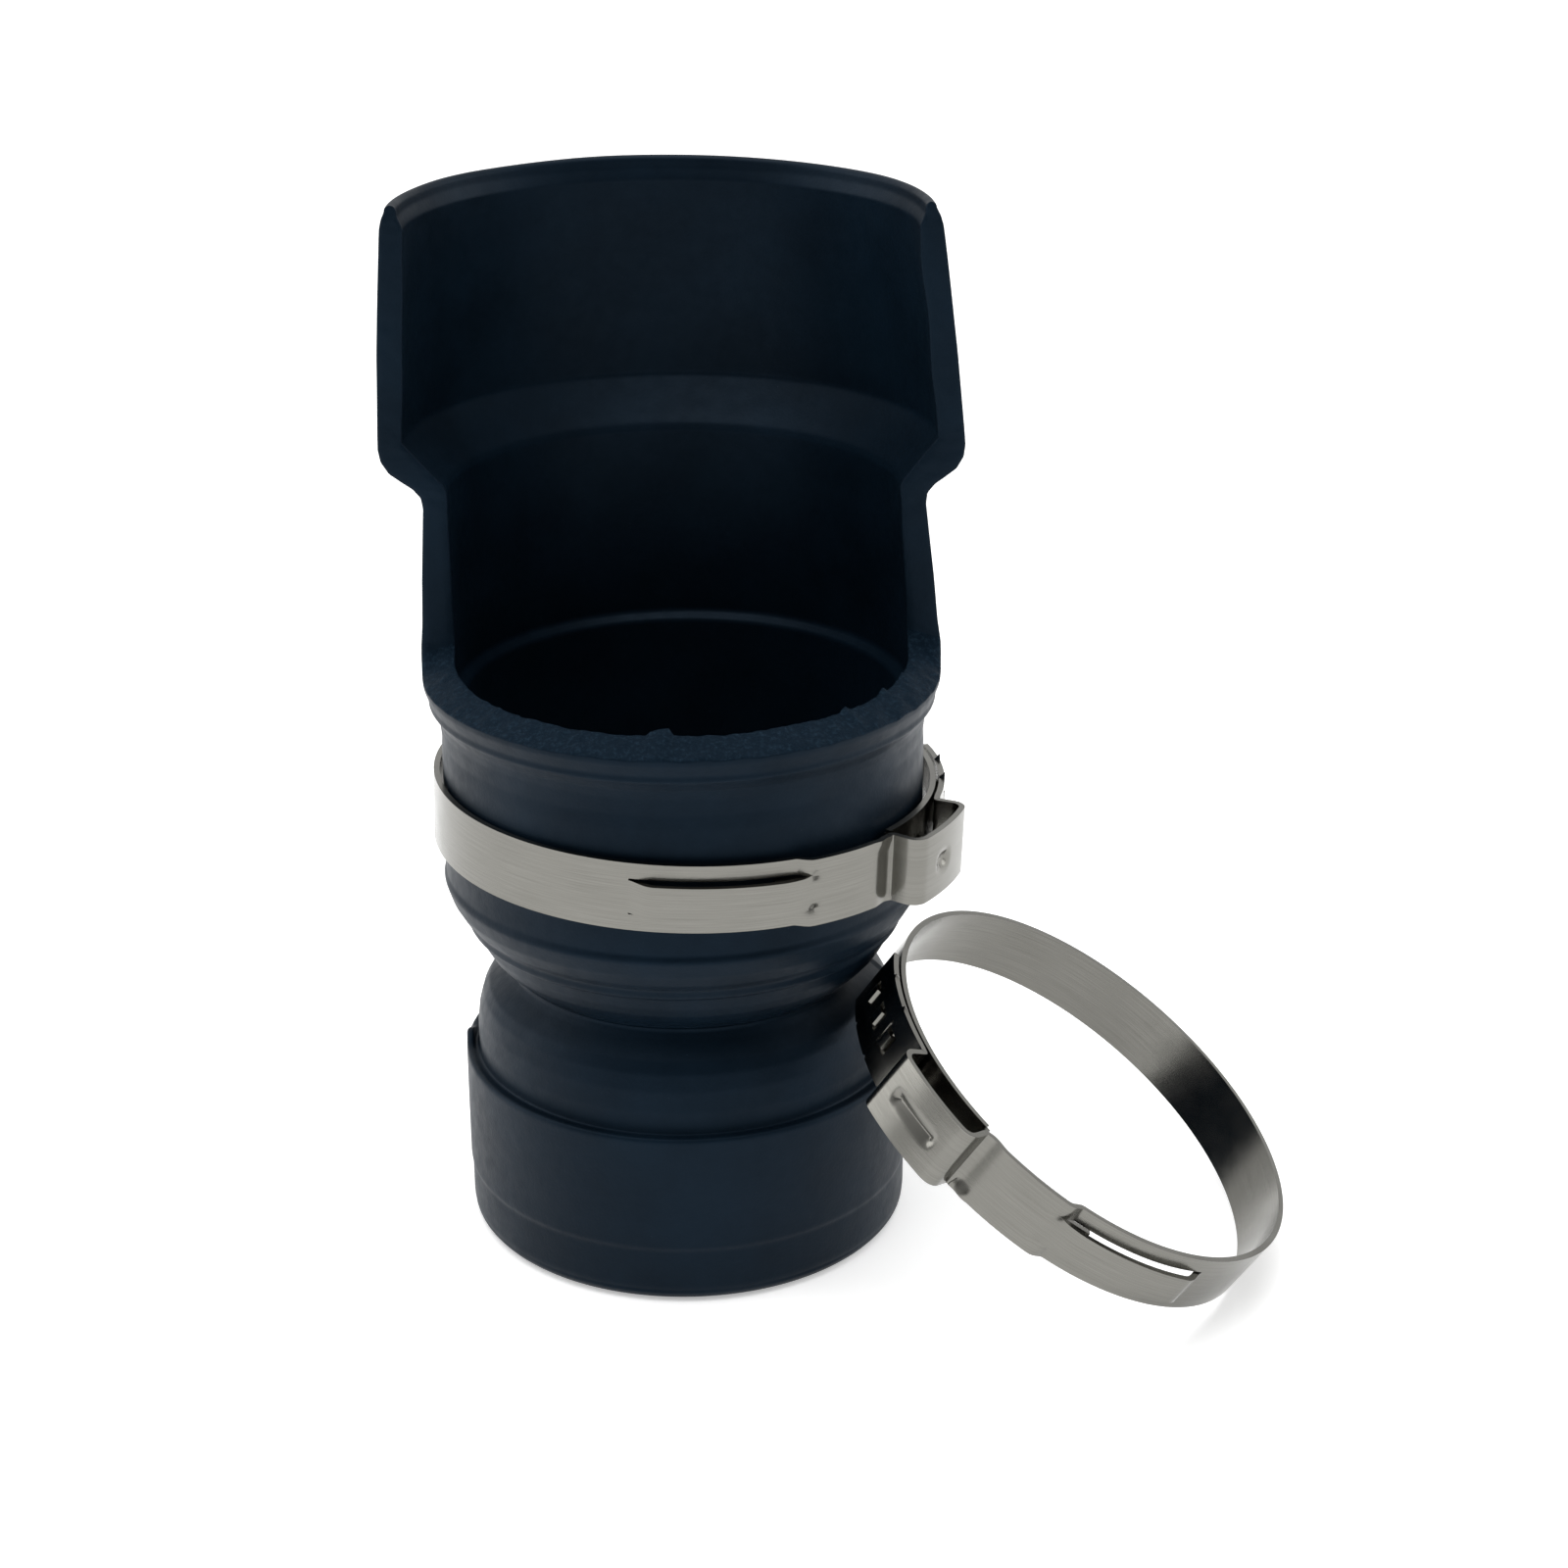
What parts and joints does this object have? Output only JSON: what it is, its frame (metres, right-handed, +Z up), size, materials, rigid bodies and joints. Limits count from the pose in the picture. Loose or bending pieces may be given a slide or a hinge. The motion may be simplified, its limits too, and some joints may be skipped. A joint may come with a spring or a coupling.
{
  "type": "flexible pipe coupling",
  "caption": "Moulded rubber pipe coupling with a flexing waist and an open half-shell hood, with stepless single-ear clamps, fitted on the barrel and loose beside the foot.",
  "frame": {"origin": "under the middle of the whole object's box, on the surface it stands on", "axes": "+Z up along the sleeve's axis, the hood opens towards -Y, and the loose clamp lies towards +X"},
  "size_m": [0.0922, 0.0672, 0.1078],
  "materials": {
    "rubber": "matt moulded black rubber with a faint blue bloom",
    "stainless_strip": "satin rolled stainless strip"
  },
  "bodies": {
    "cuff_body": {"lower_cuff": "rubber"},
    "waist_body": {"waist_fold": "rubber"},
    "hood_body": {"upper_sleeve": "rubber"},
    "fitted_clamp_body": {"fitted_clamp": "stainless_strip"},
    "loose_clamp_body": {"loose_clamp": "stainless_strip"}
  },
  "joints": [
    {"name": "waist_press", "type": "slide", "parent": "cuff_body", "child": "waist_body", "axis": [0, 0, 1], "range_m": [-0.001, 0.001], "stiffness_N_per_m": 9000, "deforming": ["waist_fold"]},
    {"name": "waist_bend", "type": "hinge", "parent": "waist_body", "child": "hood_body", "pos_m": [-0.01634, 0.00452, 0.0289], "axis": [1, 0, 0], "range_deg": [-6, 6], "stiffness_Nm_per_rad": 2.5, "deforming": ["waist_fold"]},
    {"name": "fitted_clamp_turn", "type": "hinge", "parent": "hood_body", "child": "fitted_clamp_body", "pos_m": [-0.01624, 0.00452, 0.0463], "axis": [0.0349, 0, 0.9994], "continuous": true},
    {"name": "loose_clamp_lift", "type": "slide", "parent": "cuff_body", "child": "loose_clamp_body", "axis": [0.9045, -0.3015, 0.3015], "range_m": [0, 0.08]}
  ]
}
